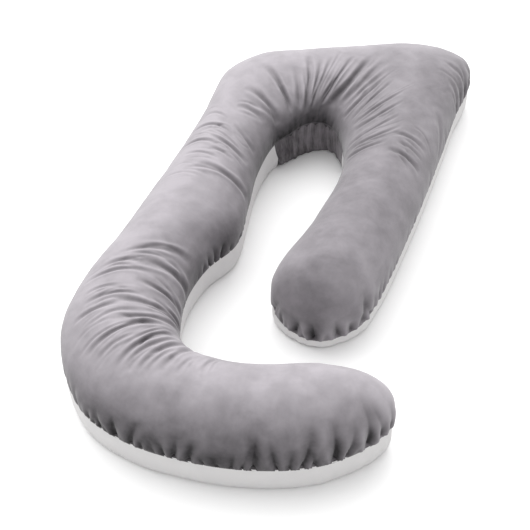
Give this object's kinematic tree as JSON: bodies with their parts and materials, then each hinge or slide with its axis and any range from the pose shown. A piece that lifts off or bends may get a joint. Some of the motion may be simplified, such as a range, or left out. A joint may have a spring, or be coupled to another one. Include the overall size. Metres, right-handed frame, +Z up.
{
  "type": "body pillow",
  "caption": "Full-length filled body pillow in a G shape, with a grey velvet top, a plain white underside and a seam all round.",
  "frame": {"origin": "centre of the pillow's outline in plan, on the surface that it lies on", "axes": "+Z up from the underside to the crown, +Y along the arms towards the bar that joins them, +X towards the open side of the hook"},
  "size_m": [0.7606, 1.4706, 0.2068],
  "materials": {
    "velvet": "short soft pile, matt with a pale sheen at glancing angles",
    "underside_cloth": "plain matt woven cloth",
    "insert_velvet": "short soft pile, matt"
  },
  "bodies": {
    "root": {"filled_body": "velvet", "underside_panel": "underside_cloth", "neck_insert": "insert_velvet"}
  },
  "joints": []
}
